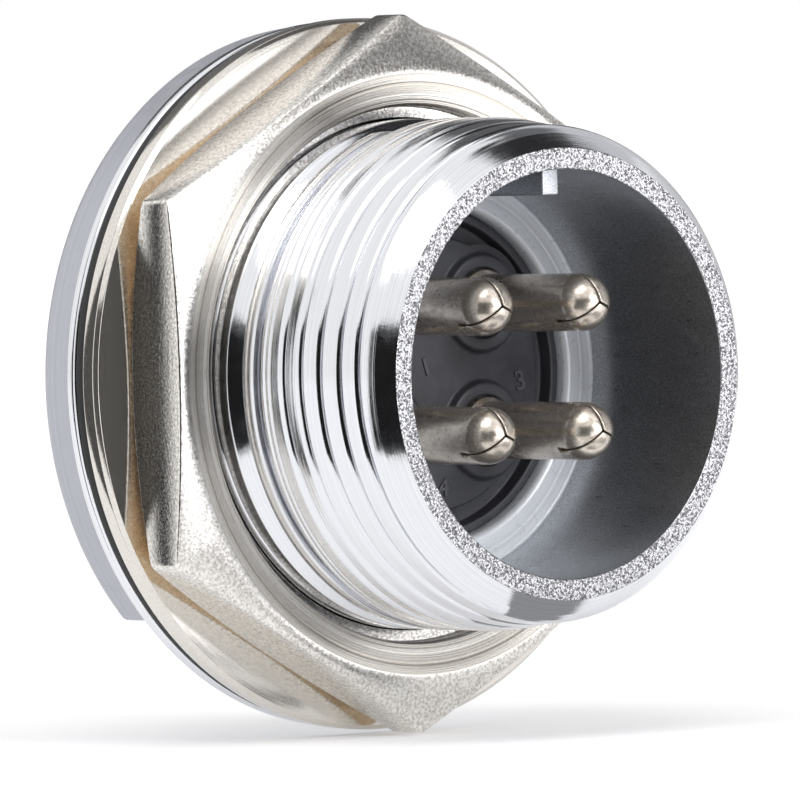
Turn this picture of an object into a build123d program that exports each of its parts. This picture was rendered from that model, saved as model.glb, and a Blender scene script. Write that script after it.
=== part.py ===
from build123d import *
from math import cos, hypot, radians, tan
import os

os.makedirs("parts", exist_ok=True)

# Panel receptacle of a waterproof circular connector, in millimetres.
# The axis lies along Y and the open front faces -Y. The origin is on the axis, in the face
# of the flange that the gasket seats on. +Z is the side of the polarising key.

# Shell: barrel and socket
barrel_r = 10.0
barrel_length = 13.15
lead_step = 0.35
lead_length = 1.1
rim_inset = 0.9
rim_chamfer = 0.58
rim_wall = 1.72
socket_depth = 7.7
socket_mouth_chamfer = 0.08
ledge_width = 1.32
ledge_thickness = 1.2
ledge_bead = 0.25
key_width = 0.84
key_height = 1.0
key_setback = 0.78
coupling_length = 5.18
undercut_width = 1.99
undercut_depth = 0.5
thread_pitch = 1.0
thread_depth = 0.54
groove_width = 0.42
groove_root_width = 0.12
coupling_run_in = 0.715
coupling_band = 1.4
panel_chamfer = 0.42
panel_run_in = 0.88
panel_band = 0.6

# Shell: flange and rear skirt
flange_inset = 0.245
flange_thickness = 2.4
lip_thickness = 0.53
lip_step = 0.15
lip_rounding = 0.18
flange_rear_rounding = 0.6
flange_flat_margin = 0.5
skirt_wall = 1.35
skirt_end_margin = 1.1
skirt_chamfer = 0.35
chamber_step = 0.84
chamber_key_width = 1.2
chamber_key_height = 0.7

# Gasket, washer and nut on the barrel
gasket_inset = 0.01
gasket_thickness = 0.57
gasket_clearance = 0.05
washer_inset = 0.145
washer_thickness = 0.79
washer_clearance = 0.15
washer_bevel = 0.15
nut_wall = 2.25
nut_thickness = 3.05
nut_clearance = 0.05
nut_face_inset = 0.25
nut_front_cone = 14.5
nut_rear_cone = 24.0
nut_mouth_chamfer = 0.65
nut_relief = 0.45
nut_relief_depth = 1.0
nut_rear_chamfer = 0.3

# Contacts
pin_r = 1.125
pin_spacing = 5.0
pin_rise = 0.2
pin_tip_setback = 0.88
slit_width = 0.12
slit_depth = 1.7
slit_arms = 3
slit_angle = 100.0
shank_step = 0.175
shank_rise = 0.15
collar_step = 0.45
collar_thickness = 1.0
tail_r = 1.25
tail_length = 4.6
cup_bore_r = 0.85
cup_depth = 3.4
scoop_length = 2.3
scoop_floor = 0.1

# Insulators, their seals and the retaining ring
face_inset = 0.4
boss_clearance = 0.08
face_rim_width = 0.41
face_groove_width = 0.66
face_groove_depth = 0.6
contact_boss_r = 1.9
contact_boss_height = 0.3
insulator_clearance = 0.05
seal_space = 0.8
seal_clearance = 0.02
front_shoulder_length = 2.55
contact_seal_space = 0.75
contact_seal_depth = 0.8
rear_insulator_length = 5.3
rear_boss_clearance = 0.5
rear_boss_height = 0.8
ring_depth = 0.5
ring_width = 1.15
ring_thickness = 0.9
ring_clearance = 0.04
ring_gap_angle = 56.0
ring_lug_r = 0.72
ring_lug_hole_r = 0.36

# Places along the axis, from the front to the rear
rim_y = -barrel_length
ledge_front_y = rim_y + socket_depth
ledge_rear_y = ledge_front_y + ledge_thickness
face_y = ledge_front_y + face_inset
shoulder_y = ledge_rear_y + seal_space
split_y = shoulder_y + front_shoulder_length
insulator_rear_y = split_y + rear_insulator_length
ring_rear_y = insulator_rear_y + ring_thickness
skirt_end_y = ring_rear_y + skirt_end_margin
rear_boss_y = insulator_rear_y + rear_boss_height
tip_y = rim_y + pin_tip_setback
shank_front_y = face_y - contact_boss_height - shank_rise
thread_start_y = rim_y + lead_length + lead_step
undercut_y = thread_start_y + coupling_length
collar_rear_y = split_y + collar_thickness
tail_end_y = rear_boss_y + tail_length
washer_rear_y = -gasket_thickness
nut_rear_y = washer_rear_y - washer_thickness
nut_front_y = nut_rear_y - nut_thickness

# Sizes that follow from the ones above
lead_r = barrel_r - lead_step
socket_r = lead_r - rim_wall
ledge_r = socket_r - ledge_width
chamber_r = ledge_r + chamber_step
thread_root_r = barrel_r - thread_depth
nut_across_flats = 2 * (barrel_r + nut_wall)
nut_corner_r = nut_across_flats / 2 / cos(radians(30))
nut_face_r = barrel_r + nut_wall - nut_face_inset
nut_bore_r = barrel_r + nut_clearance
nut_relief_r = nut_bore_r + nut_relief
nut_mouth_r = nut_relief_r + nut_mouth_chamfer
washer_r = nut_corner_r - washer_inset
flange_r = nut_corner_r - flange_inset
gasket_r = flange_r - gasket_inset
skirt_r = chamber_r + skirt_wall
flange_flat_height = skirt_r + flange_flat_margin
boss_r = ledge_r - boss_clearance
face_groove_outer_r = boss_r - face_rim_width
face_groove_inner_r = face_groove_outer_r - face_groove_width
shank_r = pin_r + shank_step
collar_r = shank_r + collar_step
insulator_r = chamber_r - insulator_clearance
ring_groove_r = chamber_r + ring_depth
ring_outer_r = ring_groove_r - ring_clearance
ring_inner_r = ring_outer_r - ring_width
lug_centre_r = ring_inner_r - ring_lug_r / 3
rear_boss_r = lug_centre_r - ring_lug_r - rear_boss_clearance
contact_hole_r = shank_r + insulator_clearance
contact_seal_r = shank_r + contact_seal_space
contact_places = [
    (x * pin_spacing / 2, z * pin_spacing / 2 + pin_rise) for z in (1, -1) for x in (-1, 1)
]


def across(y):
    """The plane across the axis at y, seen from the front: its x is X and its y is Z."""
    return Plane.XZ.offset(-y)


def thread_turns(first_y, last_y):
    """Profile points of the thread turns that fit between two places, each a plain ring groove."""
    points = []
    for turn in range(int((last_y - first_y) / thread_pitch) + 1):
        y = first_y + turn * thread_pitch
        points += [
            (barrel_r, y - groove_width / 2),
            (thread_root_r, y - groove_root_width / 2),
            (thread_root_r, y + groove_root_width / 2),
            (barrel_r, y + groove_width / 2),
        ]
    return points


def save(part, name):
    part.label = name
    export_step(part, f"parts/{name}.step")


# Shell: turned barrel, socket, ledge, flange and skirt in one piece, plus its keys and flat
with BuildPart() as shell:
    with BuildSketch(Plane.XY) as shell_section:
        with BuildLine():
            Polyline(
                (socket_r, rim_y),
                (lead_r - rim_inset, rim_y),
                (lead_r - rim_inset + rim_chamfer, rim_y + rim_chamfer),
                (lead_r, rim_y + lead_length),
                (barrel_r, thread_start_y),
                *thread_turns(thread_start_y + coupling_run_in, undercut_y - coupling_band),
                (barrel_r, undercut_y),
                (barrel_r - undercut_depth, undercut_y),
                (barrel_r - undercut_depth, undercut_y + undercut_width - panel_chamfer),
                (barrel_r, undercut_y + undercut_width),
                *thread_turns(undercut_y + undercut_width + panel_run_in, -panel_band),
                (barrel_r, 0),
                (flange_r, 0),
                (flange_r, lip_thickness),
                (flange_r - lip_step, lip_thickness),
                (flange_r - lip_step, flange_thickness),
                (skirt_r, flange_thickness),
                (skirt_r, skirt_end_y),
                (chamber_r, skirt_end_y),
                (chamber_r, ring_rear_y + ring_clearance),
                (ring_groove_r, ring_rear_y + ring_clearance),
                (ring_groove_r, insulator_rear_y),
                (chamber_r, insulator_rear_y),
                (chamber_r, ledge_rear_y),
                (ledge_r, ledge_rear_y),
                (ledge_r, ledge_front_y),
                (socket_r, ledge_front_y),
                close=True,
            )
        make_face()

        def corner(r, y):
            return shell_section.vertices().sort_by_distance((r, y, 0))[0]

        chamfer(corner(socket_r, rim_y), socket_mouth_chamfer)
        fillet(corner(ledge_r, ledge_front_y), ledge_bead)
        fillet(corner(flange_r, 0), lip_rounding)
        fillet(corner(flange_r, lip_thickness), min(lip_rounding, 0.8 * lip_step))
        fillet(corner(flange_r - lip_step, flange_thickness), flange_rear_rounding)
        chamfer(corner(skirt_r, skirt_end_y), skirt_chamfer)
    revolve(axis=Axis.Y)
    # The flat across the flange, behind its round front lip
    with BuildSketch(across(flange_thickness)):
        with Locations((0, -flange_flat_height)):
            Rectangle(2 * flange_r, flange_r, align=(Align.CENTER, Align.MAX))
    extrude(amount=flange_thickness - lip_thickness, mode=Mode.SUBTRACT)
    # The polarising key along the socket wall
    with BuildSketch(across(ledge_front_y)):
        with Locations((0, socket_r - key_height)):
            Rectangle(key_width, key_height + lead_r / 2 - socket_r / 2, align=(Align.CENTER, Align.MIN))
    extrude(amount=socket_depth - key_setback)
    # The rib in the rear chamber that keeps the insulators from turning
    with BuildSketch(across(insulator_rear_y)):
        with Locations((0, chamber_r - chamber_key_height)):
            Rectangle(
                chamber_key_width,
                chamber_key_height + skirt_r / 2 - chamber_r / 2,
                align=(Align.CENTER, Align.MIN),
            )
    extrude(amount=insulator_rear_y - shoulder_y)
save(shell.part, "shell")


# Gasket between the flange and the panel
with BuildPart() as flange_gasket:
    with BuildSketch(across(0)):
        Circle(gasket_r)
        Circle(barrel_r + gasket_clearance, mode=Mode.SUBTRACT)
    extrude(amount=gasket_thickness)
save(flange_gasket.part, "flange_gasket")


# Flat washer under the nut
with BuildPart() as flat_washer:
    with BuildSketch(across(washer_rear_y)):
        Circle(washer_r)
        Circle(barrel_r + washer_clearance, mode=Mode.SUBTRACT)
    extrude(amount=washer_thickness)
    front_edges = flat_washer.faces().sort_by(Axis.Y)[0].outer_wire().edges()
    chamfer(front_edges, washer_bevel)
save(flat_washer.part, "flat_washer")


# Hexagon nut, turned with a cone on each face and a relieved mouth in front
with BuildPart() as hex_nut:
    with BuildSketch(across(nut_rear_y)):
        RegularPolygon(nut_across_flats / 2, 6, major_radius=False, rotation=30)
    extrude(amount=nut_thickness)
    corner_reach = nut_corner_r - nut_face_r
    with BuildSketch(Plane.XY):
        with BuildLine():
            Polyline(
                (nut_bore_r, nut_rear_y - nut_rear_chamfer),
                (nut_bore_r + nut_rear_chamfer, nut_rear_y),
                (nut_face_r, nut_rear_y),
                (nut_corner_r, nut_rear_y - corner_reach * tan(radians(nut_rear_cone))),
                (nut_corner_r, nut_front_y + corner_reach * tan(radians(nut_front_cone))),
                (nut_face_r, nut_front_y),
                (nut_mouth_r, nut_front_y),
                (nut_relief_r, nut_front_y + nut_mouth_r - nut_relief_r),
                (nut_relief_r, nut_front_y + nut_relief_depth),
                (nut_bore_r, nut_front_y + nut_relief_depth),
                close=True,
            )
        make_face()
    revolve(axis=Axis.Y, mode=Mode.INTERSECT)
save(hex_nut.part, "hex_nut")


def cut_keyway():
    """The slot that an insulator has for the rib in the shell's chamber."""
    with Locations((0, chamber_r - chamber_key_height - insulator_clearance)):
        Rectangle(
            chamber_key_width + 2 * insulator_clearance,
            2 * chamber_key_height,
            align=(Align.CENTER, Align.MIN),
            mode=Mode.SUBTRACT,
        )


# Front insulator: its boss stands in the ledge's opening and shows at the socket's floor
with BuildPart() as front_insulator:
    with BuildSketch(across(split_y)):
        Circle(insulator_r)
        cut_keyway()
    extrude(amount=front_shoulder_length)
    with BuildSketch(across(shoulder_y)):
        Circle(boss_r)
    extrude(amount=shoulder_y - face_y)
    with BuildSketch(across(face_y)):
        Circle(face_groove_outer_r)
        Circle(face_groove_inner_r, mode=Mode.SUBTRACT)
    extrude(amount=-face_groove_depth, mode=Mode.SUBTRACT)
    with BuildSketch(across(face_y)):
        with Locations(contact_places):
            Circle(contact_boss_r)
    extrude(amount=contact_boss_height)
    with BuildSketch(across(split_y)):
        with Locations(contact_places):
            Circle(contact_hole_r)
    extrude(amount=split_y - face_y + contact_boss_height, mode=Mode.SUBTRACT)
    with BuildSketch(across(split_y)):
        with Locations(contact_places):
            Circle(contact_seal_r)
    extrude(amount=contact_seal_depth, mode=Mode.SUBTRACT)
save(front_insulator.part, "front_insulator")


# Rear insulator: clamps the contacts' collars, and its boss stands inside the ring
with BuildPart() as rear_insulator:
    with BuildSketch(across(insulator_rear_y)):
        Circle(insulator_r)
        cut_keyway()
    extrude(amount=rear_insulator_length)
    with BuildSketch(across(rear_boss_y)):
        Circle(rear_boss_r)
    extrude(amount=rear_boss_height)
    with BuildSketch(across(rear_boss_y)):
        with Locations(contact_places):
            Circle(tail_r + insulator_clearance)
    extrude(amount=rear_boss_y - split_y, mode=Mode.SUBTRACT)
    with BuildSketch(across(collar_rear_y)):
        with Locations(contact_places):
            Circle(collar_r + insulator_clearance)
    extrude(amount=collar_thickness, mode=Mode.SUBTRACT)
save(rear_insulator.part, "rear_insulator")


# O-ring between the ledge and the front insulator's shoulder
with BuildPart() as insulator_seal:
    seal_section_r = seal_space / 2 - seal_clearance
    with BuildSketch(Plane.XY):
        with Locations(((ledge_r + chamber_r) / 2, (ledge_rear_y + shoulder_y) / 2)):
            Circle(min(seal_section_r, (chamber_r - ledge_r) / 2 - seal_clearance))
    revolve(axis=Axis.Y)
save(insulator_seal.part, "insulator_seal")


# Internal retaining ring, open at the bottom, with a lug and a tool hole at each end
with BuildPart() as retaining_ring:
    lug_place = PolarLocations(
        lug_centre_r, 2, start_angle=270 - ring_gap_angle / 2, angular_range=ring_gap_angle, endpoint=True
    )
    with BuildSketch(across(ring_rear_y)):
        Circle(ring_outer_r)
        Circle(ring_inner_r, mode=Mode.SUBTRACT)
        with BuildLine():
            Polyline(
                (0, 0),
                (2 * ring_outer_r * cos(radians(270 - ring_gap_angle / 2)), -2 * ring_outer_r),
                (-2 * ring_outer_r * cos(radians(270 - ring_gap_angle / 2)), -2 * ring_outer_r),
                close=True,
            )
        make_face(mode=Mode.SUBTRACT)
        with lug_place:
            Circle(ring_lug_r)
            Circle(ring_lug_hole_r, mode=Mode.SUBTRACT)
    extrude(amount=ring_thickness)
save(retaining_ring.part, "retaining_ring")


def contact_pin(x, z):
    """A turned contact: slit round tip, thicker shank, collar, tail and a solder cup open outwards."""
    with BuildPart() as contact:
        with BuildSketch(Plane(origin=(x, 0, z))):
            with BuildLine():
                Line((0, tail_end_y - cup_depth), (0, tip_y))
                CenterArc((0, tip_y + pin_r), pin_r, -90, 90)
                Polyline(
                    (pin_r, tip_y + pin_r),
                    (pin_r, shank_front_y - shank_r + pin_r),
                    (shank_r, shank_front_y),
                    (shank_r, split_y),
                    (collar_r, split_y),
                    (collar_r, collar_rear_y),
                    (tail_r, collar_rear_y),
                    (tail_r, tail_end_y),
                    (cup_bore_r, tail_end_y),
                    (cup_bore_r, tail_end_y - cup_depth),
                    (0, tail_end_y - cup_depth),
                )
            make_face()
        revolve(axis=Axis((x, 0, z), (0, 1, 0)))
        with BuildSketch(Plane.XZ.offset(-tip_y).shift_origin((x, tip_y, z))):
            with PolarLocations(0, slit_arms, start_angle=slit_angle):
                Rectangle(2 * pin_r, slit_width, align=(Align.MIN, Align.CENTER))
        extrude(amount=-slit_depth, mode=Mode.SUBTRACT)
        outward = Vector(x, 0, z) / hypot(x, z)
        with BuildSketch(Plane(origin=(x, tail_end_y, z), x_dir=outward, z_dir=(0, -1, 0))):
            with Locations((scoop_floor, 0)):
                Rectangle(2 * tail_r, 3 * tail_r, align=(Align.MIN, Align.CENTER))
        extrude(amount=scoop_length, mode=Mode.SUBTRACT)
    return contact.part


def contact_seal(x, z):
    """A small O-ring round a contact, in its pocket behind the front insulator."""
    section_r = (contact_seal_r - shank_r) / 2 - seal_clearance
    with BuildPart() as seal:
        with BuildSketch(Plane(origin=(x, 0, z))):
            with Locations(((contact_seal_r + shank_r) / 2, split_y - contact_seal_depth / 2)):
                Circle(min(section_r, contact_seal_depth / 2))
        revolve(axis=Axis((x, 0, z), (0, 1, 0)))
    return seal.part


for number, (x, z) in enumerate(contact_places, start=1):
    save(contact_pin(x, z), f"contact_{number}")
    save(contact_seal(x, z), f"contact_seal_{number}")
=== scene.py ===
"""Looks of the panel receptacle: turned threads, slit contacts and plated finishes on the frame.

Sizes are in millimetres along the frame's axes, and meshes are made in metres. The axis of the
connector is Y, the open front faces -Y and the key is at +Z. Profiles are in (radius, y).
"""

import math

import bmesh
import bpy
import numpy as np
from mathutils import Matrix, Vector


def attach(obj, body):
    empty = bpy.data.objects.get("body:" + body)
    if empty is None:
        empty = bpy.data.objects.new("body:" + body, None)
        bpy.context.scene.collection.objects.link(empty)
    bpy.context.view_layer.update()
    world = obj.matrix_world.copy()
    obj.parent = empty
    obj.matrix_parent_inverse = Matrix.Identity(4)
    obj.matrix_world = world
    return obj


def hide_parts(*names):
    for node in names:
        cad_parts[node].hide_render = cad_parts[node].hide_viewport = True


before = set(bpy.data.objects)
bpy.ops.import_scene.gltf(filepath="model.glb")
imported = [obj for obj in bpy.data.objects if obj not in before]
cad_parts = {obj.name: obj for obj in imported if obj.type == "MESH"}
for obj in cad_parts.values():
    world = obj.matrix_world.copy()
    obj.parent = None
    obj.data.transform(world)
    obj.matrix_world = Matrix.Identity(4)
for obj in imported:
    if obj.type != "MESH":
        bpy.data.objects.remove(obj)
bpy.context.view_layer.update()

MM = 0.001


def span(name):
    """The places along the axis where a CAD node starts and ends, to a micron."""
    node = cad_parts[name]
    places = [(node.matrix_world @ Vector(corner)).y / MM for corner in node.bound_box]
    return round(min(places), 3), round(max(places), 3)


# Where the CAD nodes start and end along the axis. The two insulators meet at SPLIT_Y.
RIM_Y, SKIRT_END_Y = span("shell")
GASKET_FRONT_Y, SEAT_Y = span("flange_gasket")
WASHER_FRONT_Y, WASHER_REAR_Y = span("flat_washer")
NUT_FRONT_Y, NUT_REAR_Y = span("hex_nut")
BOSS_Y, SPLIT_Y = span("front_insulator")
RING_FRONT_Y, RING_REAR_Y = span("retaining_ring")
CUP_END_Y = span("contact_1")[1]

# The front insulator's shoulder, the barrel's radius and the contacts' places in (x, z)
SHOULDER_Y = -3.45
BARREL_R = 10.0
CONTACT_PLACES = [(-2.5, 2.7), (2.5, 2.7), (-2.5, -2.3), (2.5, -2.3)]


# Mesh helpers


def smooth(x):
    """0 below 0, 1 above 1 and a smooth step between."""
    x = np.clip(x, 0.0, 1.0)
    return x * x * (3 - 2 * x)


def rounded(corners, closed=True, steps=4):
    """Points of a profile whose corners are (r, y) or (r, y, rounding)."""
    points = []
    count = len(corners)
    for i, corner in enumerate(corners):
        here = Vector(corner[:2])
        size = corner[2] if len(corner) > 2 else 0.0
        if size <= 0 or (not closed and i in (0, count - 1)):
            points.append((here.x, here.y))
            continue
        back = (Vector(corners[i - 1][:2]) - here).normalized()
        ahead = (Vector(corners[(i + 1) % count][:2]) - here).normalized()
        half = back.angle(ahead) / 2
        reach = size / math.tan(half)
        centre = here + (back + ahead).normalized() * (size / math.sin(half))
        start = here + back * reach - centre
        end = here + ahead * reach - centre
        first = math.atan2(start.y, start.x)
        turn = (math.atan2(end.y, end.x) - first + math.pi) % (2 * math.pi) - math.pi
        for k in range(steps + 1):
            angle = first + turn * k / steps
            points.append((centre.x + size * math.cos(angle), centre.y + size * math.sin(angle)))
    return points


def turned(profile, angles, centre=(0.0, 0.0)):
    """Rows of points: each (radius, y) of the profile at each angle from +X towards +Z."""
    r = np.array([p[0] for p in profile])[:, None]
    y = np.array([p[1] for p in profile])[:, None]
    a = np.asarray(angles)[None, :]
    return np.stack([centre[0] + r * np.cos(a), y + 0 * a, centre[1] + r * np.sin(a)], -1)


def full_turn(steps):
    """Angles once round the axis, with the first one repeated at the end."""
    return np.linspace(0, 2 * math.pi, steps + 1)


class Shape:
    """Collects grids of points and makes one mesh object of them."""

    def __init__(self):
        self.points = []
        self.faces = []
        self.face_materials = []

    def grid(self, rows, close_rows=False, material=0):
        """Adds the quads between rows of points. material is a number or a function of a row."""
        rows = np.asarray(rows, float)
        if close_rows:
            rows = np.concatenate([rows, rows[:1]])
        height, width = rows.shape[:2]
        start = len(self.points)
        self.points.extend(rows.reshape(-1, 3).tolist())
        for i in range(height - 1):
            slot = material(i) if callable(material) else material
            for j in range(width - 1):
                a = start + i * width + j
                self.faces.append((a, a + 1, a + 1 + width, a + width))
                self.face_materials.append(slot)

    def block(self, low, high, bevel, material=0):
        """Adds a box with bevelled edges between two of its corners."""
        bm = bmesh.new()
        bmesh.ops.create_cube(bm, size=1.0)
        low, high = Vector(low), Vector(high)
        for v in bm.verts:
            v.co = Vector((low[k] + (v.co[k] + 0.5) * (high[k] - low[k]) for k in range(3)))
        bmesh.ops.bevel(bm, geom=bm.edges[:], offset=bevel, segments=3, profile=0.5, affect="EDGES")
        start = len(self.points)
        bm.verts.index_update()
        self.points.extend([tuple(v.co) for v in bm.verts])
        for f in bm.faces:
            self.faces.append(tuple(start + v.index for v in f.verts))
            self.face_materials.append(material)
        bm.free()

    def make(self, name, materials, sharp_angle=35.0, merge=0.0012):
        """Makes the object. Points closer than merge join, and edges over sharp_angle are sharp."""
        mesh = bpy.data.meshes.new(name)
        mesh.from_pydata((np.array(self.points) * MM).tolist(), [], self.faces)
        mesh.polygons.foreach_set("material_index", self.face_materials)
        bm = bmesh.new()
        bm.from_mesh(mesh)
        bmesh.ops.remove_doubles(bm, verts=bm.verts[:], dist=merge * MM)
        bmesh.ops.dissolve_degenerate(bm, edges=bm.edges[:], dist=0.0002 * MM)
        bmesh.ops.recalc_face_normals(bm, faces=bm.faces[:])
        bm.to_mesh(mesh)
        bm.free()
        for m in materials:
            mesh.materials.append(m)
        mesh.shade_smooth()
        mesh.set_sharp_from_angle(angle=math.radians(sharp_angle))
        piece = bpy.data.objects.new(name, mesh)
        bpy.context.scene.collection.objects.link(piece)
        return piece


def place(piece, body, slot, *nodes):
    """Puts a piece on its body and lets it stand for the CAD nodes."""
    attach(piece, body)
    if nodes:
        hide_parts(*nodes)


# Materials

# Most of a noise's values lie between these two
NOISE_LOW, NOISE_HIGH = 0.3, 0.7


class Finish:
    """A Principled material whose texture coordinates are millimetres of the piece."""

    def __init__(self, name, color, metallic, roughness):
        self.material = bpy.data.materials.new(name)
        self.material.use_nodes = True
        self.tree = self.material.node_tree
        self.shader = self.tree.nodes["Principled BSDF"]
        self.shader.inputs["Base Color"].default_value = (*color, 1.0)
        self.shader.inputs["Metallic"].default_value = metallic
        self.shader.inputs["Roughness"].default_value = roughness
        coordinates = self.node("ShaderNodeTexCoord")
        mapping = self.node("ShaderNodeMapping")
        mapping.inputs["Scale"].default_value = (1 / MM, 1 / MM, 1 / MM)
        self.link(coordinates.outputs["Object"], mapping.inputs["Vector"])
        self.position = mapping.outputs["Vector"]
        self.bump = None

    def node(self, kind, **settings):
        made = self.tree.nodes.new(kind)
        for key, value in settings.items():
            setattr(made, key, value)
        return made

    def link(self, output, target):
        self.tree.links.new(output, target)

    def math(self, operation, *values):
        made = self.node("ShaderNodeMath", operation=operation)
        for i, value in enumerate(values):
            if isinstance(value, (int, float)):
                made.inputs[i].default_value = value
            else:
                self.link(value, made.inputs[i])
        return made.outputs[0]

    def split(self):
        """A node with the position's X, Y and Z."""
        parts = self.node("ShaderNodeSeparateXYZ")
        self.link(self.position, parts.inputs[0])
        return parts

    def radius(self):
        """The distance from the connector's axis, in millimetres."""
        parts = self.split()
        squares = [self.math("MULTIPLY", parts.outputs[k], parts.outputs[k]) for k in ("X", "Z")]
        return self.math("SQRT", self.math("ADD", *squares))

    def noise(self, scale, detail=3.0, roughness=0.6, stretch=None):
        """Noise with about scale grains a millimetre; stretch squeezes it along each axis."""
        made = self.node("ShaderNodeTexNoise")
        made.inputs["Scale"].default_value = scale
        made.inputs["Detail"].default_value = detail
        made.inputs["Roughness"].default_value = roughness
        vector = self.position
        if stretch:
            squeeze = self.node("ShaderNodeMapping")
            squeeze.inputs["Scale"].default_value = stretch
            self.link(self.position, squeeze.inputs["Vector"])
            vector = squeeze.outputs["Vector"]
        self.link(vector, made.inputs["Vector"])
        return made.outputs["Fac"]

    def lathe_lines(self, scale, detail=4.0):
        """Uneven lines that run round the axis on barrels, faces and cones alike."""
        across = self.math("ADD", self.radius(), self.split().outputs["Y"])
        made = self.node("ShaderNodeTexNoise", noise_dimensions="1D")
        made.inputs["Scale"].default_value = scale
        made.inputs["Detail"].default_value = detail
        made.inputs["Roughness"].default_value = 0.65
        self.link(across, made.inputs["W"])
        return made.outputs["Fac"]

    def between(self, value, low, high, socket):
        """Sends a noise value to a shader socket, spread from low to high."""
        made = self.node("ShaderNodeMapRange")
        made.inputs["From Min"].default_value = NOISE_LOW
        made.inputs["From Max"].default_value = NOISE_HIGH
        made.inputs["To Min"].default_value = low
        made.inputs["To Max"].default_value = high
        self.link(value, made.inputs["Value"])
        self.link(made.outputs["Result"], self.shader.inputs[socket])

    def tint(self, value, dark, light, low=NOISE_LOW, high=NOISE_HIGH):
        """Colours the surface from dark, where value is low, to light, where it is high."""
        ramp = self.node("ShaderNodeValToRGB")
        ramp.color_ramp.elements[0].position = low
        ramp.color_ramp.elements[0].color = (*dark, 1.0)
        ramp.color_ramp.elements[1].position = high
        ramp.color_ramp.elements[1].color = (*light, 1.0)
        self.link(value, ramp.inputs["Fac"])
        self.link(ramp.outputs["Color"], self.shader.inputs["Base Color"])

    def raise_by(self, value, distance, strength):
        """Adds relief: distance is its full height in millimetres."""
        made = self.node("ShaderNodeBump")
        made.inputs["Strength"].default_value = strength
        made.inputs["Distance"].default_value = distance * MM
        self.link(value, made.inputs["Height"])
        if self.bump is not None:
            self.link(self.bump, made.inputs["Normal"])
        self.bump = made.outputs["Normal"]
        self.link(self.bump, self.shader.inputs["Normal"])


def chrome_finish():
    f = Finish("chrome_plate", (0.80, 0.81, 0.84), 1.0, 0.09)
    lines = f.lathe_lines(9.0)
    f.tint(lines, (0.74, 0.75, 0.78), (0.86, 0.87, 0.90))
    f.between(f.noise(1.3), 0.06, 0.15, "Roughness")
    f.raise_by(lines, 0.006, 0.5)
    f.raise_by(f.noise(7.0, 4.0), 0.003, 0.35)
    return f.material


def rim_finish():
    f = Finish("chrome_rim", (0.82, 0.83, 0.85), 1.0, 0.12)
    grain = f.noise(11.0, 2.0, 0.7)
    f.tint(grain, (0.12, 0.12, 0.125), (0.78, 0.78, 0.8), 0.4, 0.58)
    f.between(grain, 0.08, 0.22, "Roughness")
    f.raise_by(grain, 0.05, 1.0)
    return f.material


def socket_finish():
    f = Finish("chrome_bore", (0.62, 0.63, 0.65), 1.0, 0.3)
    specks = f.noise(16.0, 2.0, 0.5)
    f.tint(specks, (0.38, 0.385, 0.4), (0.62, 0.64, 0.67), 0.38, 0.64)
    f.between(f.noise(6.0, 2.0, stretch=(1.0, 0.15, 1.0)), 0.27, 0.36, "Roughness")
    f.raise_by(specks, 0.003, 0.4)
    return f.material


def ledge_finish():
    f = Finish("chrome_ledge", (0.84, 0.88, 0.94), 0.15, 0.3)
    lines = f.lathe_lines(7.0)
    f.tint(lines, (0.8, 0.84, 0.9), (0.92, 0.95, 1.0))
    f.between(f.noise(3.0), 0.25, 0.38, "Roughness")
    f.raise_by(lines, 0.008, 0.5)
    return f.material


def nut_finish():
    f = Finish("satin_nickel", (0.8, 0.77, 0.73), 1.0, 0.12)
    speckle = f.noise(8.0, 5.0, 0.72)
    f.tint(speckle, (0.52, 0.49, 0.45), (0.92, 0.9, 0.86), 0.38, 0.58)
    f.between(speckle, 0.08, 0.18, "Roughness")
    f.raise_by(speckle, 0.014, 0.6)
    f.raise_by(f.lathe_lines(5.0), 0.006, 0.5)
    return f.material


def turned_nickel_finish():
    """The nut's mouth, with the lines that its turning left."""
    f = Finish("turned_nickel", (0.72, 0.69, 0.62), 1.0, 0.2)
    lines = f.lathe_lines(3.2, 5.0)
    f.tint(lines, (0.5, 0.46, 0.4), (0.86, 0.83, 0.77), 0.35, 0.62)
    f.between(lines, 0.12, 0.3, "Roughness")
    f.raise_by(lines, 0.05, 0.9)
    f.raise_by(f.noise(9.0), 0.008, 0.5)
    return f.material


def worn_nickel_finish():
    """The nut's rear cone, where the brass shows warm through thin nickel."""
    f = Finish("warm_nickel", (0.8, 0.64, 0.45), 1.0, 0.24)
    speckle = f.noise(5.0, 5.0, 0.7)
    f.tint(speckle, (0.66, 0.5, 0.33), (0.88, 0.73, 0.54), 0.34, 0.66)
    f.between(speckle, 0.16, 0.32, "Roughness")
    f.raise_by(speckle, 0.01, 0.5)
    return f.material


def washer_finish():
    f = Finish("washer_nickel", (0.74, 0.71, 0.66), 0.91, 0.13)
    speckle = f.noise(11.0, 4.0, 0.7)
    f.tint(speckle, (0.7, 0.66, 0.6), (0.83, 0.8, 0.76), 0.34, 0.66)
    f.between(speckle, 0.06, 0.13, "Roughness")
    f.raise_by(speckle, 0.003, 0.4)
    f.raise_by(f.lathe_lines(5.0), 0.004, 0.4)
    return f.material


def contact_finish():
    f = Finish("contact_nickel_plate", (0.7, 0.63, 0.55), 0.84, 0.24)
    grain = f.noise(7.0, 3.0, 0.6, stretch=(1.0, 0.5, 1.0))
    f.tint(grain, (0.56, 0.49, 0.42), (0.74, 0.68, 0.6), 0.32, 0.68)
    f.between(f.noise(3.0), 0.18, 0.3, "Roughness")
    f.raise_by(grain, 0.003, 0.5)
    return f.material


# Painted shade: the slits' walls and floor are coloured dark brown for the shade deep inside the
# narrow slits
def slit_shade_finish():
    f = Finish("slit_shadow", (0.2, 0.16, 0.12), 1.0, 0.5)
    f.tint(f.noise(10.0), (0.12, 0.09, 0.065), (0.3, 0.24, 0.18))
    return f.material


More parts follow.
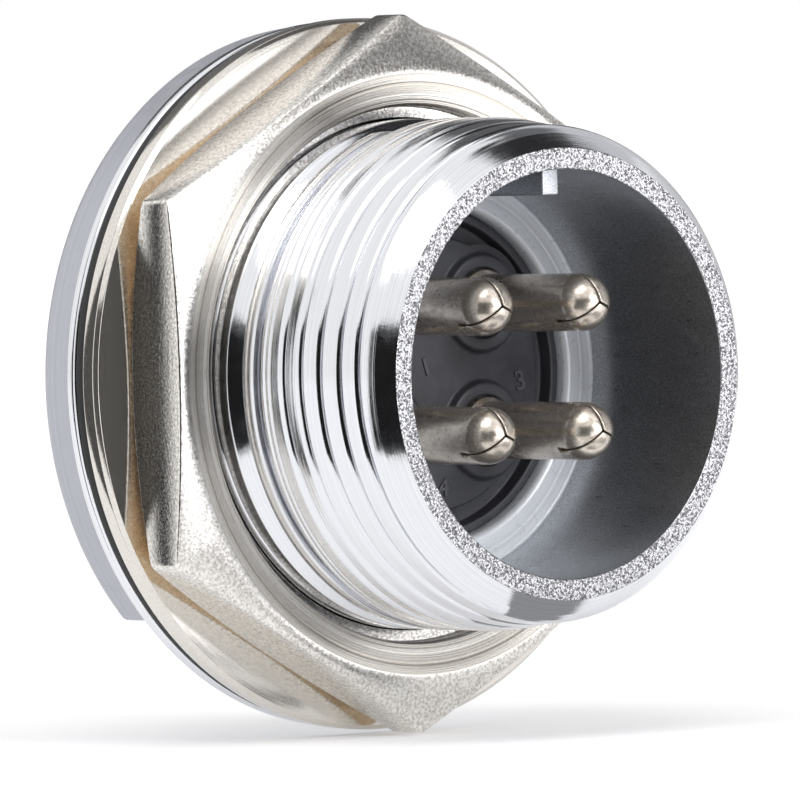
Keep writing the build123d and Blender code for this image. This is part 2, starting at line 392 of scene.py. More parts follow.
def insulator_finish(name="moulded_insulator", colour=(0.042, 0.043, 0.053)):
    f = Finish(name, colour, 0.0, 0.42)
    mottle = f.noise(0.9, 4.0)
    f.tint(mottle, tuple(0.8 * c for c in colour), tuple(1.35 * c for c in colour))
    f.between(f.noise(3.0, 4.0), 0.34, 0.5, "Roughness")
    f.raise_by(f.noise(9.0, 4.0, 0.7), 0.008, 0.5)
    return f.material


def flange_finish():
    f = Finish("satin_chrome", (0.5, 0.51, 0.56), 0.5, 0.45)
    lines = f.lathe_lines(4.0)
    f.tint(lines, (0.47, 0.48, 0.53), (0.55, 0.56, 0.61))
    f.between(f.noise(2.0), 0.38, 0.5, "Roughness")
    f.raise_by(lines, 0.003, 0.4)
    return f.material


def rubber_finish():
    f = Finish("seal_rubber_matt", (0.02, 0.02, 0.021), 0.0, 0.62)
    dust = f.noise(5.0, 5.0, 0.7)
    f.tint(dust, (0.012, 0.012, 0.013), (0.034, 0.034, 0.036))
    f.between(dust, 0.52, 0.75, "Roughness")
    f.raise_by(f.noise(12.0, 4.0), 0.012, 0.6)
    return f.material


def spring_finish():
    f = Finish("phosphated_spring", (0.2, 0.2, 0.21), 1.0, 0.4)
    mottle = f.noise(4.0, 5.0, 0.7)
    f.tint(mottle, (0.12, 0.12, 0.13), (0.3, 0.3, 0.31))
    f.between(mottle, 0.32, 0.5, "Roughness")
    f.raise_by(mottle, 0.008, 0.5)
    return f.material


CHROME = chrome_finish()
RIM = rim_finish()
SOCKET = socket_finish()
LEDGE = ledge_finish()
FLANGE = flange_finish()
NICKEL = nut_finish()
TURNED = turned_nickel_finish()
WORN = worn_nickel_finish()
WASHER = washer_finish()
CONTACT = contact_finish()
SLIT_SHADE = slit_shade_finish()
INSULATOR = insulator_finish()
MARKS = insulator_finish("moulded_marks", (0.075, 0.076, 0.088))
RUBBER = rubber_finish()
SPRING = spring_finish()


# Shell: turned barrel with its two threads, socket, flange and skirt

# The shell's finishes, in the order of its material slots
PLATE, GRAIN, BORE, SHELF, SATIN = range(5)

RELIEF_R = 9.5
FLANGE_R = 13.9
CHAMBER_R = 7.45
SOCKET_R = 7.93
LEDGE_R = 6.61
LEDGE_Y, LEDGE_REAR_Y = -5.45, -4.25

# A thread's groove: how far behind its middle, and how deep. Its front flank is steep, and its
# rear edge is an arc that ends in the crest, where three more rows follow up to the next groove.
PITCH = 1.0
GROOVE_DEPTH = 0.54
GROOVE_END = 0.4
EDGE_R = 0.33
GROOVE = np.array(
    [
        (-0.15, 0.0),
        (-0.135, 0.02),
        (-0.12, 0.07),
        (-0.10, 0.2),
        (-0.08, 0.36),
        (-0.06, 0.48),
        (-0.04, 0.53),
        (-0.02, GROOVE_DEPTH),
        (0.02, GROOVE_DEPTH),
        (0.035, 0.52),
        (0.05, 0.46),
        (0.065, 0.36),
        (0.08, 0.26),
    ]
    + [
        (GROOVE_END - EDGE_R * math.sin(math.radians(t)), EDGE_R * (1 - math.cos(math.radians(t))))
        for t in (68, 60, 52, 44, 36, 28, 20, 12, 5, 0)
    ]
)
CREST_ROWS = [0.48, 0.6, 0.72]

# Each thread's stretch runs from first to last behind the rim, and a groove's middle crosses the
# left side at centre. The groove begins and ends at those numbers of turns from that crossing.
COUPLING_THREAD = {"first": 0.7, "last": 5.95, "centre": 1.165, "begin": -0.22, "end": 4.26}
PANEL_THREAD = {"first": 8.68, "last": SEAT_Y - RIM_Y, "centre": 8.5, "begin": 0.25, "end": 4.3}

# The crest of the coupling thread's first turns: how far behind the rim, and the radius
LEAD = [
    (0.58, 9.33),
    (0.85, 9.54),
    (1.0, 9.62),
    (1.15, 9.66),
    (1.9, 9.71),
    (2.6, 9.79),
    (3.2, 9.88),
    (3.8, 9.97),
    (4.2, BARREL_R),
]


def wander(turns):
    """A lathe's small unevenness along the axis after some turns of thread."""
    waves = [(0.010, 2.7), (0.006, 6.1)]
    return sum(height * np.sin(2 * math.pi * per_turn * turns) for height, per_turn in waves)


def thread(first, last, centre, begin, end, crest, angles):
    """A stretch of the barrel as rows of points that follow the right-hand thread.

    crest(s) is the radius that the grooves are cut into. Where it tapers, their floor follows it
    down by most of the taper.
    """
    fade_in, fade_out = 0.11, 0.13
    follow = 0.8
    u = (math.pi - angles) / (2 * math.pi)
    rows = []
    for turn in range(math.floor(first - centre) - 1, math.ceil(last - centre) + 2):
        along = turn + u
        fade = smooth((along - begin) / fade_in) * smooth((end - along) / fade_out)
        for offset in list(GROOVE[:, 0]) + CREST_ROWS:
            s = centre + along * PITCH + offset * PITCH + wander(along) * (offset <= GROOVE_END)
            depth = np.interp(offset, GROOVE[:, 0], GROOVE[:, 1]) * fade
            inside = (s > first) & (s < last)
            s = np.clip(s, first, last)
            taper = BARREL_R - crest(s)
            radius = BARREL_R - np.maximum(taper, (depth + follow * taper * (depth > 0)) * inside)
            rows.append(np.stack([radius * np.cos(angles), RIM_Y + s, radius * np.sin(angles)], -1))
    return rows


def lead_radius(s):
    """The cone behind the rim's chamfer and the tapered crest of the coupling thread."""
    return np.interp(s, *zip(*LEAD))


def plain_radius(s):
    """The plain barrel that the panel thread is cut into."""
    return BARREL_R + 0 * s


def scribed(s):
    """The rows of a fine turned line round the barrel, at s behind the rim."""
    half, depth = 0.03, 0.018
    return [(s - half, BARREL_R, 0), (s, BARREL_R - depth, 0), (s + half, BARREL_R, 0)]


def relief(angles):
    """The plain band behind the coupling thread, and the relief with a partial turn in it."""
    into = [(6.6, 9.99), (6.63, 9.95), (6.645, 9.86), (6.66, 9.68), (6.675, 9.55), (6.71, RELIEF_R)]
    out_of = [(8.17, RELIEF_R), (8.21, 9.51), (8.25, 9.545), (8.59, 9.925), (8.63, 9.98)]

    # The partial turn's flank: how far from its middle, and how high over the relief
    middle, top = 7.38, BARREL_R - RELIEF_R
    flank = [(0.37, 0.05), (0.35, 0.22), (0.335, 0.4), (0.31, 0.48), (0.27, top)]

    # Rows of how far behind the rim, the radius, and the partial turn's height over it
    band = [(COUPLING_THREAD["last"], BARREL_R, 0)] + scribed(6.05) + scribed(6.33)
    band += [(6.56, BARREL_R, 0)] + [(s, radius, 0) for s, radius in into]
    band += [(6.98, RELIEF_R, 0)]
    band += [(middle - away, RELIEF_R, height) for away, height in flank]
    band += [(middle, RELIEF_R, top)]
    band += [(middle + away, RELIEF_R, height) for away, height in reversed(flank)]
    band += [(7.79, RELIEF_R, 0)]
    band += [(s, radius, 0) for s, radius in out_of] + [(PANEL_THREAD["first"], BARREL_R, 0)]

    # Between these angles from the right side, over the top, the partial turn is missing
    degrees = np.degrees(angles)
    missing = smooth((degrees - 38) / 14) * (1 - smooth((degrees - 97) / 12))
    rows = []
    for s, radius, height in band:
        r = radius + height * (1 - missing)
        rows.append(np.stack([r * np.cos(angles), RIM_Y + s + 0 * angles, r * np.sin(angles)], -1))
    return rows


def add_flange_and_skirt(shape, angles):
    """The flange with its lip and bottom flat, the skirt, and the chamber with its ring groove."""
    lip_y, rear_y = 0.53, 2.4
    body_r = FLANGE_R - 0.15
    skirt_r, skirt_chamfer = 8.8, 0.35
    mouth_chamfer = 0.15
    ring_groove_r, ring_clearance = 7.95, 0.04
    flat_height = 9.3
    profile = rounded(
        [
            (BARREL_R, SEAT_Y),
            (FLANGE_R, SEAT_Y, 0.18),
            (FLANGE_R, lip_y, 0.1),
            (body_r, lip_y, 0.03),
            (body_r, rear_y, 0.6),
            (skirt_r, rear_y, 0.12),
            (skirt_r, SKIRT_END_Y - skirt_chamfer, 0.05),
            (skirt_r - skirt_chamfer, SKIRT_END_Y, 0.06),
            (CHAMBER_R + mouth_chamfer, SKIRT_END_Y, 0.05),
            (CHAMBER_R, SKIRT_END_Y - mouth_chamfer, 0.05),
            (CHAMBER_R, RING_REAR_Y + ring_clearance, 0.03),
            (ring_groove_r, RING_REAR_Y + ring_clearance, 0.03),
            (ring_groove_r, RING_FRONT_Y, 0.03),
            (CHAMBER_R, RING_FRONT_Y, 0.03),
            (CHAMBER_R, LEDGE_REAR_Y),
            (LEDGE_R, LEDGE_REAR_Y),
        ],
        closed=False,
        steps=5,
    )
    rows = turned(profile, angles)

    # Behind the lip, points below the flat are drawn towards the axis onto it
    for i, (r, y) in enumerate(profile):
        on_lip = abs(r - FLANGE_R) < 0.12 and y < lip_y
        if y > lip_y - 0.03 and r > flat_height and not on_lip:
            scale = flat_height / np.maximum(-rows[i, :, 2], flat_height)
            rows[i, :, 0] *= scale
            rows[i, :, 2] *= scale

    def finish_of(row):
        r, y = profile[row]
        return SATIN if r > skirt_r + 0.1 and y > lip_y + 0.01 else PLATE

    shape.grid(rows, material=finish_of)


def add_socket(shape, angles):
    """The ledge with its turned line, the socket's wall, the rim and its chamfer."""
    rim_r, chamfer = 8.75, 0.58
    line_r, line_half, line_depth = 7.36, 0.04, 0.03
    middle_y = -9.0
    front = COUPLING_THREAD["first"]
    profile = rounded(
        [
            (LEDGE_R, LEDGE_REAR_Y),
            (LEDGE_R, LEDGE_Y, 0.25),
            (line_r - line_half, LEDGE_Y),
            (line_r, LEDGE_Y + line_depth),
            (line_r + line_half, LEDGE_Y),
            (SOCKET_R, LEDGE_Y, 0.12),
            (SOCKET_R, middle_y),
            (SOCKET_R, RIM_Y, 0.07),
            (rim_r, RIM_Y, 0.06),
            (rim_r + chamfer, RIM_Y + chamfer, 0.25),
            (float(lead_radius(front)), RIM_Y + front),
        ],
        closed=False,
        steps=5,
    )

    def finish_of(row):
        r, y = profile[row]
        if y < RIM_Y + 0.1 and SOCKET_R + 0.01 < r < rim_r - 0.005:
            return GRAIN
        if r > rim_r - 0.05:
            return PLATE
        return SHELF if y > LEDGE_Y - 0.05 else BORE

    shape.grid(turned(profile, angles), material=finish_of)


def build_shell():
    shape = Shape()
    angles = full_turn(256)
    shape.grid(thread(**COUPLING_THREAD, crest=lead_radius, angles=angles))
    shape.grid(thread(**PANEL_THREAD, crest=plain_radius, angles=angles))
    shape.grid(relief(angles))
    add_flange_and_skirt(shape, angles)
    add_socket(shape, angles)

    # The polarising key in the socket, and the key in the chamber that stops the insulators
    # turning. Both reach into the wall.
    half, low_r, high_r = 0.42, 6.93, 8.2
    front_y, rear_y = RIM_Y + 0.78, LEDGE_Y + 0.15
    shape.block((-half, front_y, low_r), (half, rear_y, high_r), 0.07, material=BORE)
    half, low_r, high_r = 0.6, 6.75, 7.8
    shape.block((-half, SHOULDER_Y, low_r), (half, RING_FRONT_Y, high_r), 0.05)
    return shape.make("shell_turned", [CHROME, RIM, SOCKET, LEDGE, FLANGE], merge=0.002)


place(build_shell(), "housing", "chrome_shell", "shell")


# Gasket and washer


def ring_piece(name, corners, material):
    """A ring with these corners in its section."""
    shape = Shape()
    shape.grid(turned(rounded(corners), full_turn(192)), close_rows=True)
    return shape.make(name, [material])


GASKET_R, GASKET_BORE_R, GASKET_BULGE = 13.89, BARREL_R + 0.05, 0.03
gasket = [
    (GASKET_BORE_R, SEAT_Y, 0.05),
    (GASKET_R - GASKET_BULGE, SEAT_Y, 0.1),
    (GASKET_R, (SEAT_Y + GASKET_FRONT_Y) / 2),
    (GASKET_R - GASKET_BULGE, GASKET_FRONT_Y, 0.1),
    (GASKET_BORE_R, GASKET_FRONT_Y, 0.05),
]
place(ring_piece("flange_gasket_ring", gasket, RUBBER), "housing", "seal_rubber", "flange_gasket")

WASHER_R, WASHER_BORE_R, WASHER_BEVEL = 14.0, BARREL_R + 0.15, 0.15
washer = [
    (WASHER_BORE_R, WASHER_REAR_Y, 0.06),
    (WASHER_R, WASHER_REAR_Y, 0.07),
    (WASHER_R, WASHER_FRONT_Y + WASHER_BEVEL, 0.06),
    (WASHER_R - WASHER_BEVEL, WASHER_FRONT_Y, 0.06),
    (WASHER_BORE_R, WASHER_FRONT_Y, 0.08),
]
place(ring_piece("flat_washer_ring", washer, WASHER), "washer", "nickel", "flat_washer")


# Nut: hexagon with softened corners, a cone on each face and a relieved mouth

NUT_APOTHEM = 12.25
NUT_FACE_R = 12.0
FRONT_CONE, REAR_CONE = math.radians(14.5), math.radians(24.0)


def hexagon():
    """Angles round the nut, closer at its softened corners, and the outline's reach at each."""
    corner_r = 0.35
    half_side = math.radians(30)
    near_corner = [29.29, 29.5, 29.72, 29.88]
    offsets = [-30.0] + [-degrees for degrees in reversed(near_corner)]
    offsets += [k * 1.4 for k in range(-20, 21)] + near_corner
    corner_centre = (NUT_APOTHEM - corner_r) / math.cos(half_side)
    tangent = math.degrees(math.atan((NUT_APOTHEM - corner_r) * math.tan(half_side) / NUT_APOTHEM))
    angles, reaches = [], []
    for side in range(6):
        for offset in offsets:
            if abs(offset) <= tangent:
                reach = NUT_APOTHEM / math.cos(math.radians(offset))
            else:
                e = math.radians(30 - abs(offset))
                across = corner_centre * math.sin(e)
                reach = corner_centre * math.cos(e) + math.sqrt(corner_r**2 - across**2)
            angles.append(math.radians(60 * side + offset))
            reaches.append(reach)
    return angles, reaches


def nut_section(reach):
    """The nut's section where its outline is at reach."""
    bore_r, relief_r = BARREL_R + 0.05, BARREL_R + 0.5
    relief_depth, bore_chamfer = 1.0, 0.3
    beyond = reach - NUT_FACE_R
    return rounded(
        [
            (bore_r, NUT_FRONT_Y + relief_depth, 0.04),
            (bore_r, NUT_REAR_Y - bore_chamfer, 0.04),
            (bore_r + bore_chamfer, NUT_REAR_Y, 0.05),
            (NUT_FACE_R, NUT_REAR_Y),
            (reach, NUT_REAR_Y - beyond * math.tan(REAR_CONE), 0.1),
            (reach, NUT_FRONT_Y + beyond * math.tan(FRONT_CONE), 0.1),
            (NUT_FACE_R, NUT_FRONT_Y),
            (11.8, NUT_FRONT_Y, 0.03),
            (10.62, NUT_FRONT_Y + 0.24, 0.04),
            (relief_r, NUT_FRONT_Y + 0.4, 0.04),
            (relief_r, NUT_FRONT_Y + relief_depth, 0.04),
        ],
        steps=3,
    )


def build_nut():
    columns = [
        [(r * math.cos(angle), y, r * math.sin(angle)) for r, y in nut_section(reach)]
        for angle, reach in zip(*hexagon())
    ]
    rows = np.transpose(np.array(columns), (1, 0, 2))
    rows = np.concatenate([rows, rows[:, :1]], axis=1)

    # The section at the first corner says which rows are the worn rear cone and the turned mouth
    radii = [float(np.hypot(*row[0, ::2])) for row in rows]
    places = [float(row[0, 1]) for row in rows]
    plain, mouth, worn = range(3)

    def finish_of(row):
        middle = (places[row] + places[(row + 1) % len(rows)]) / 2
        on_cone = radii[row] >= NUT_FACE_R - 0.01 and places[row] > NUT_REAR_Y - 0.12
        if on_cone and row < len(rows) - 1 and middle > NUT_REAR_Y - 0.9:
            return worn
        return mouth if radii[row] < 11.82 and middle < NUT_FRONT_Y + 0.7 else plain

    shape = Shape()
    shape.grid(rows, close_rows=True, material=finish_of)
    return shape.make("hex_nut_turned", [NICKEL, TURNED, WORN], sharp_angle=28.0)


place(build_nut(), "nut", "nickel", "hex_nut")


# Front insulator with its ring groove, a boss round each contact, and moulded numbers

BOSS_HEIGHT = 0.3
FACE_Y = BOSS_Y + BOSS_HEIGHT


def build_insulator():
    shape = Shape()
    disc_r, body_r, middle_r = 6.53, 7.4, 0.02
    groove_y = FACE_Y + 0.6
    disc = rounded(
        [
            (middle_r, FACE_Y),
            (1.5, FACE_Y),
            (5.4, FACE_Y, 0.1),
            (5.46, groove_y, 0.08),
            (6.12, groove_y, 0.08),
            (6.15, FACE_Y, 0.08),
            (disc_r, FACE_Y, 0.12),
            (disc_r, SHOULDER_Y, 0.05),
            (body_r, SHOULDER_Y, 0.05),
            (body_r, SPLIT_Y, 0.05),
            (middle_r, SPLIT_Y),
        ],
        closed=False,
    )
    shape.grid(turned(disc, full_turn(160)))
    boss = rounded(
        [
            (2.3, FACE_Y + 0.02),
            (1.98, FACE_Y, 0.16),
            (1.86, BOSS_Y, 0.13),
            (1.38, BOSS_Y, 0.1),
            (1.36, FACE_Y + 0.05),
        ],
        closed=False,
    )
    for contact_place in CONTACT_PLACES:
        shape.grid(turned(boss, full_turn(64), contact_place))
    return shape.make("front_insulator_face", [INSULATOR])


place(build_insulator(), "housing", "insulator", "front_insulator")


def moulded_number(text, x, z, height=1.0, turn=0.0):
    """A small raised number on the insulator's face, turned by some degrees in it."""
    curve = bpy.data.curves.new("number", "FONT")
    curve.body = text
    curve.size = height * MM
    curve.align_x = "CENTER"
    curve.align_y = "CENTER"
    curve.extrude = 0.05 * MM
    curve.bevel_depth = 0.015 * MM
    maker = bpy.data.objects.new("number_maker", curve)
    bpy.context.scene.collection.objects.link(maker)
    bpy.context.view_layer.update()
    depsgraph = bpy.context.evaluated_depsgraph_get()
    mesh = bpy.data.meshes.new_from_object(maker.evaluated_get(depsgraph))
    bpy.data.objects.remove(maker)
    spin = Matrix.Rotation(math.radians(turn), 4, "Z")
    stand = Matrix.Rotation(math.radians(90), 4, "X")
    mesh.transform(Matrix.Translation((x * MM, FACE_Y * MM, z * MM)) @ stand @ spin)
    mesh.materials.clear()
    mesh.materials.append(MARKS)
    piece = bpy.data.objects.new("moulded_number_" + text, mesh)
    bpy.context.scene.collection.objects.link(piece)
    place(piece, "housing", "insulator")


moulded_number("1", -0.35, 0.25, turn=18)
moulded_number("2", 0.0, 4.55)
moulded_number("3", 4.5, -0.45, 1.1, turn=12)
moulded_number("4", 0.4, -4.5)


# Contacts: round tips with a three-armed slit, shank, collar, tail and open solder cup

# A contact's finish and the painted shade of its slits, in the order of its material slots
PLATED, PAINTED_SHADE = range(2)

TIP_Y = -12.27
PIN_R, TAIL_R, CUP_R = 1.125, 1.25, 0.85
SCOOP_Y = 7.5

SLIT_DEPTH = 1.7
SLIT_FLOOR_Y = TIP_Y + SLIT_DEPTH
SLIT_HALF = 0.034
SLIT_ANGLES = [100.0, 220.0, 340.0]

# One slit widens by a notch on each side towards its floor, from this depth over this length
NOTCHED_ARM = 1
NOTCH_HALF, NOTCH_START, NOTCH_LENGTH = 0.075, 1.2, 0.3

# The slits' edges are rounded, and the mesh has a column at each of these insets from the wall
EDGE_ROUNDING = 0.05
EDGE_INSETS = [0.0, 0.006, 0.018, EDGE_ROUNDING]


def tip_section():
    """The tip's ball and straight end: radius, y, and the outward direction in each."""
    section = []
    for degrees in (3.6, 4.5, 6, 8, 11, 15, 20, 26, 32, 39, 46, 53, 60, 67, 74, 80, 86, 90):
        tilt = math.radians(degrees)
        out_r, out_y = math.sin(tilt), -math.cos(tilt)
        section.append((PIN_R * out_r, TIP_Y + PIN_R + PIN_R * out_y, out_r, out_y))
    for depth in (1.2, 1.3, 1.4, 1.5, 1.6, 1.655, 1.68, SLIT_DEPTH):
        section.append((PIN_R, TIP_Y + depth, 1.0, 0.0))
    return section


def tip_lobe(shape, first_arm, x, z):
    """One third of a slit tip: its ball surface with rounded edges, and its two walls."""
    half_lobe = math.radians(60)
    middle = math.radians(SLIT_ANGLES[first_arm]) + half_lobe
    columns = 16
    surface, near_wall, far_wall = [], [], []
    for radius, y, out_r, out_y in tip_section():
        notch = NOTCH_HALF * float(smooth((y - TIP_Y - NOTCH_START) / NOTCH_LENGTH))
        edges = []
        for side, arm in ((1, first_arm), (-1, (first_arm + 1) % 3)):
            half = SLIT_HALF + (notch if arm == NOTCHED_ARM else 0.0)
            edge = []
            for inset in EDGE_INSETS:
                swing = min(math.asin(min(1.0, (half + inset) / radius)), half_lobe)
                sink = EDGE_ROUNDING - math.sqrt(EDGE_ROUNDING**2 - (EDGE_ROUNDING - inset) ** 2)
                edge.append((middle - side * half_lobe + side * swing, sink))
            edges.append(edge if side == 1 else edge[::-1])
        start, end = edges[0][-1][0], edges[1][0][0]
        between = [(start + (end - start) * k / columns, 0.0) for k in range(1, columns)]
        points = []
        for angle, sink in edges[0] + between + edges[1]:
            r = max(radius - sink * out_r, 0.001)
            points.append((x + r * math.cos(angle), y - sink * out_y, z + r * math.sin(angle)))
        surface.append(points)
        for wall, (px, py, pz) in ((near_wall, points[0]), (far_wall, points[-1])):
            wall.append([(px, py, pz), (px, SLIT_FLOOR_Y, pz)])
    shape.grid(surface)
    # The slit's walls take the painted shade
    shape.grid(near_wall, material=PAINTED_SHADE)
    shape.grid(far_wall, material=PAINTED_SHADE)


def add_scoop(shape, x, z):
    """The solder cup's open scoop: a part turn, open outwards, with both its ends closed."""
    start_y = SCOOP_Y - 0.02
    section = rounded(
        [(CUP_R, start_y), (TAIL_R, start_y), (TAIL_R, CUP_END_Y, 0.08), (CUP_R, CUP_END_Y, 0.08)]
    )
    outward = math.atan2(z, x)
    sweep = np.linspace(math.radians(85), math.radians(275), 64) + outward
    rows = turned(section, sweep, (x, z))
    shape.grid(rows, close_rows=True)
    for end in (0, -1):
        start = len(shape.points)
        shape.points.extend(rows[:, end].tolist())
        shape.faces.append(tuple(range(start, start + len(rows))))
        shape.face_materials.append(PLATED)


def build_contact(number, x, z):
    shape = Shape()
    for arm in range(3):
        tip_lobe(shape, arm, x, z)
    shank_r, collar_r, waist_r, middle_r = 1.3, 1.75, 1.2, 0.005
    shank_y, collar_rear_y, cup_floor_y = -5.5, 0.1, 6.5
    body = rounded(
        [
            (middle_r, SLIT_FLOOR_Y),
            (1.0, SLIT_FLOOR_Y),
            (PIN_R, SLIT_FLOOR_Y),
            (PIN_R, shank_y - (shank_r - PIN_R), 0.03),
            (shank_r, shank_y, 0.04),
            (shank_r, SPLIT_Y),
            (collar_r, SPLIT_Y, 0.06),
            (collar_r, collar_rear_y, 0.06),
            (TAIL_R, collar_rear_y),
            (TAIL_R, 6.3),
            (waist_r, 6.36),
            (waist_r, 6.5),
            (TAIL_R, 6.56),
            (TAIL_R, SCOOP_Y, 0.05),
            (CUP_R, SCOOP_Y, 0.05),
            (CUP_R, cup_floor_y),
            (middle_r, cup_floor_y - 0.1),
        ],
        closed=False,
    )
    rows = turned(body, full_turn(96), (x, z))
    # The first row is the slit's floor, which takes the painted shade
    shape.grid(rows, material=lambda row: PAINTED_SHADE if row == 0 else PLATED)
    add_scoop(shape, x, z)
    return shape.make(f"contact_{number}_turned", [CONTACT, SLIT_SHADE], merge=0.0008)


for number, (x, z) in enumerate(CONTACT_PLACES, start=1):
    place(build_contact(number, x, z), "housing", "contact_nickel", f"contact_{number}")


# CAD nodes that keep their own form

REAR_INSULATOR = insulator_finish("moulded_rear_insulator", (0.03, 0.03, 0.034))
for name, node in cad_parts.items():
    if name == "rear_insulator":
        finish = REAR_INSULATOR
    elif name == "retaining_ring":
        finish = SPRING
    elif "seal" in name:
        finish = RUBBER
    else:
        continue
    node.data.materials.clear()
    node.data.materials.append(finish)


# Camera at the photograph's viewing angle. Its distance and shifts are from the rim's centre.

YAW, ELEVATION, ROLL = math.radians(-40.346), math.radians(1.462), math.radians(1.506)
DISTANCE, SHIFT_RIGHT, SHIFT_UP = 500, -6.5137, -1.0044
sideways = Vector((math.cos(YAW), math.sin(YAW), 0))
back = Vector(
    (math.sin(YAW) * math.cos(ELEVATION), -math.cos(YAW) * math.cos(ELEVATION), math.sin(ELEVATION))
)
upwards = back.cross(sideways)
right = sideways * math.cos(ROLL) - upwards * math.sin(ROLL)
up = sideways * math.sin(ROLL) + upwards * math.cos(ROLL)
camera_data = bpy.data.cameras.new("camera")
camera_data.sensor_width = 36.0
camera_data.lens = 582.056
camera_data.clip_start = 0.01
camera_data.clip_end = 20.0
camera = bpy.data.objects.new("camera", camera_data)
bpy.context.scene.collection.objects.link(camera)
camera.rotation_mode = "QUATERNION"
camera.rotation_quaternion = Matrix((right, up, back)).transposed().to_quaternion()
rim_centre = Vector((0, RIM_Y, 0))
camera.location = (rim_centre + SHIFT_RIGHT * right + SHIFT_UP * up + DISTANCE * back) * MM
bpy.context.scene.camera = camera


# Floor, world, cards and lamps

FLOOR_Z = -14.2
FLOOR_HALF = 1500
FLOOR_GLOW = 0.32
SKY_LIGHT = 0.62
CARD_CENTRE_Y = RIM_Y / 2
CARD_STEPS = 24


def staged_mesh(name, points, faces, material):
    """A mesh of the setting, given in millimetres."""
    mesh = bpy.data.meshes.new(name)
    mesh.from_pydata([[MM * v for v in point] for point in points], [], faces)
    mesh.materials.append(material)
    made = bpy.data.objects.new(name, mesh)
    bpy.context.scene.collection.objects.link(made)
    return made


def seen_directly(tree):
    """1 for camera, glossy and transmission rays."""
    path = tree.nodes.new("ShaderNodeLightPath")
    first = tree.nodes.new("ShaderNodeMath")
    first.operation = "MAXIMUM"
    second = tree.nodes.new("ShaderNodeMath")
    second.operation = "MAXIMUM"
    tree.links.new(path.outputs["Is Camera Ray"], first.inputs[0])
    tree.links.new(path.outputs["Is Glossy Ray"], first.inputs[1])
    tree.links.new(first.outputs[0], second.inputs[0])
    tree.links.new(path.outputs["Is Transmission Ray"], second.inputs[1])
    return second.outputs[0]


def floor_material():
    material = bpy.data.materials.new("pale_floor")
    material.use_nodes = True
    tree = material.node_tree
    tree.nodes.clear()
    diffuse = tree.nodes.new("ShaderNodeBsdfDiffuse")
    diffuse.inputs["Color"].default_value = (0.8, 0.8, 0.81, 1)
    glow = tree.nodes.new("ShaderNodeEmission")
    glow.inputs["Color"].default_value = (1, 1, 1, 1)
    strength = tree.nodes.new("ShaderNodeMath")
    strength.operation = "MULTIPLY"
    strength.inputs[1].default_value = FLOOR_GLOW
    tree.links.new(seen_directly(tree), strength.inputs[0])
    tree.links.new(strength.outputs[0], glow.inputs["Strength"])
    both = tree.nodes.new("ShaderNodeAddShader")
    tree.links.new(diffuse.outputs[0], both.inputs[0])
    tree.links.new(glow.outputs[0], both.inputs[1])
    output = tree.nodes.new("ShaderNodeOutputMaterial")
    tree.links.new(both.outputs[0], output.inputs["Surface"])
    return material


corners = [(-FLOOR_HALF, -FLOOR_HALF), (FLOOR_HALF, -FLOOR_HALF)]
corners += [(FLOOR_HALF, FLOOR_HALF), (-FLOOR_HALF, FLOOR_HALF)]
staged_mesh("floor", [(x, y, FLOOR_Z) for x, y in corners], [(0, 1, 2, 3)], floor_material())

world = bpy.data.worlds.new("studio")
bpy.context.scene.world = world
world.use_nodes = True
sky = world.node_tree
background = sky.nodes["Background"]
mix = sky.nodes.new("ShaderNodeMapRange")
mix.inputs["To Min"].default_value = SKY_LIGHT
mix.inputs["To Max"].default_value = 1.0
sky.links.new(seen_directly(sky), mix.inputs["Value"])
sky.links.new(mix.outputs["Result"], background.inputs["Strength"])
background.inputs["Color"].default_value = (1, 1, 1, 1)


def card_mesh(name, level, point):
    """A glowing card that only reflections see. point(u, v) is a place on it, both from 0 to 1."""
    material = bpy.data.materials.new(name)
    material.use_nodes = True
    tree = material.node_tree
    tree.nodes.clear()
    glow = tree.nodes.new("ShaderNodeEmission")
    glow.inputs["Color"].default_value = (level, level, 1.03 * level, 1)
    output = tree.nodes.new("ShaderNodeOutputMaterial")
    tree.links.new(glow.outputs[0], output.inputs["Surface"])
    along = [k / CARD_STEPS for k in range(CARD_STEPS + 1)]
    points = [point(u, v) for v in along for u in along]
    row = len(along)
    firsts = [i * row + j for i in range(CARD_STEPS) for j in range(CARD_STEPS)]
    faces = [(k, k + 1, k + row + 1, k + row) for k in firsts]
    made = staged_mesh(name, points, faces, material)
    made.visible_camera = False
    made.visible_diffuse = False
    made.visible_transmission = False
    made.visible_volume_scatter = False
    made.visible_shadow = False


def mixed(ends, t):
    """From the first end, at t 0, to the second one, at t 1."""
    return ends[0] + (ends[1] - ends[0]) * t


def card(name, azimuths, elevations, level, distance):
    """A card on a sphere round the barrel. Azimuths run from +X towards +Y, in degrees."""

    def point(u, v):
        a, e = math.radians(mixed(azimuths, u)), math.radians(mixed(elevations, v))
        return (
            distance * math.cos(e) * math.cos(a),
            distance * math.cos(e) * math.sin(a) + CARD_CENTRE_Y,
            distance * math.sin(e),
        )

    card_mesh(name, level, point)


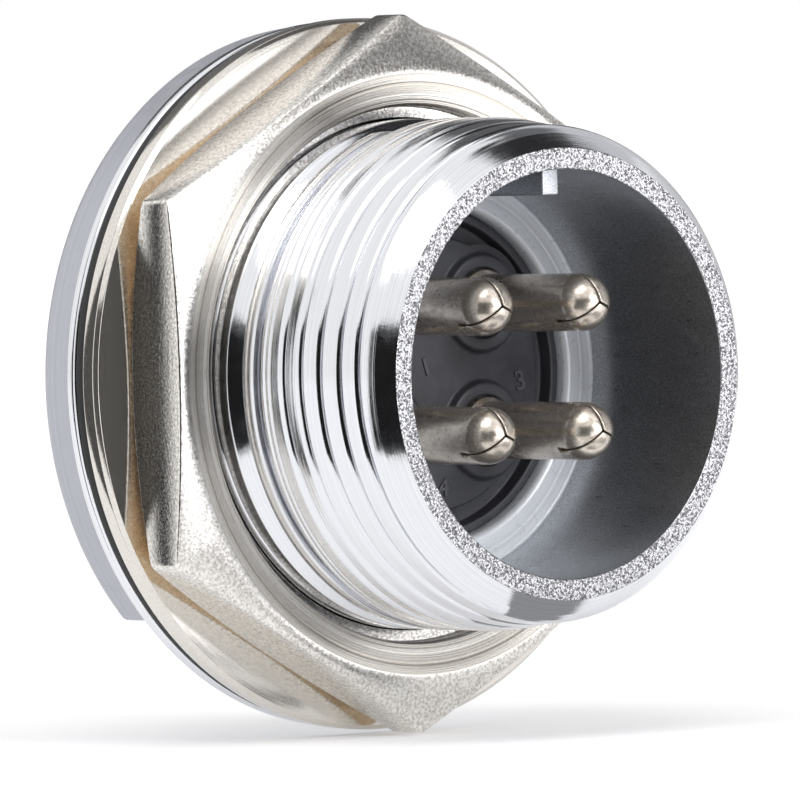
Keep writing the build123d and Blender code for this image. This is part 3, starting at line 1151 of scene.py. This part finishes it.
def floor_card(name, azimuths, reach, level):
    """A card just over the floor: a sector between two distances."""

    def point(u, v):
        a, distance = math.radians(mixed(azimuths, u)), mixed(reach, v)
        return (distance * math.cos(a), distance * math.sin(a) + CARD_CENTRE_Y, FLOOR_Z + 0.2)

    card_mesh(name, level, point)


def upright_card(name, xs, zs, y, level):
    """A flat upright card across the axis."""
    card_mesh(name, level, lambda u, v: (mixed(xs, u), y, mixed(zs, v)))


card("black_card", (203, 268), (-3, 18), 0.012, 320)
card("grey_card", (38, 92), (0, 42), 0.11, 340)
card("side_card", (-78, -60), (18, 33), 0.4, 330)
card("side_card_right", (-60, -35), (7, 33), 0.26, 330)
card("far_side_card", (-34, 6), (-3, 33), 0.55, 330)
card("rear_card", (18, 58), (-3, 25), 0.6, 350)
card("low_box", (269, 300), (-3, 17), 2.2, 310)
card("low_box_right", (300, 322), (-3, 6), 2.0, 310)
card("high_box", (268, 311), (35, 60), 1.5, 310)
card("top_card", (-48, 1), (34, 78), 0.03, 320)
card("right_card", (1, 46), (26, 46), 0.62, 330)
card("high_right_card", (1, 46), (46, 66), 0.16, 330)
floor_card("black_floor_card", (203, 256), (33, 330), 0.012)
floor_card("bright_floor_card", (257, 322), (36, 310), 2.1)
floor_card("grey_floor_card", (257, 330), (20, 35), 0.4)
floor_card("near_floor_card", (-97, -48), (3, 12.7), 0.3)
upright_card("nut_flag", (-17.7, -14.9), (-10.0, 10.0), 1.2, 0.03)


def sun(name, direction, strength, size):
    """A sun lamp that shines from a direction. Its size is in degrees."""
    data = bpy.data.lights.new(name, "SUN")
    data.energy = strength
    data.angle = math.radians(size)
    made = bpy.data.objects.new(name, data)
    bpy.context.scene.collection.objects.link(made)
    made.rotation_mode = "QUATERNION"
    made.rotation_quaternion = Vector(direction).to_track_quat("Z", "Y")


sun("key_light", (-0.75, -0.55, 1.5), 1.0, 40)
sun("front_light", (0.15, -1.0, 0.3), 0.9, 15)

bpy.context.scene.view_settings.view_transform = "Standard"
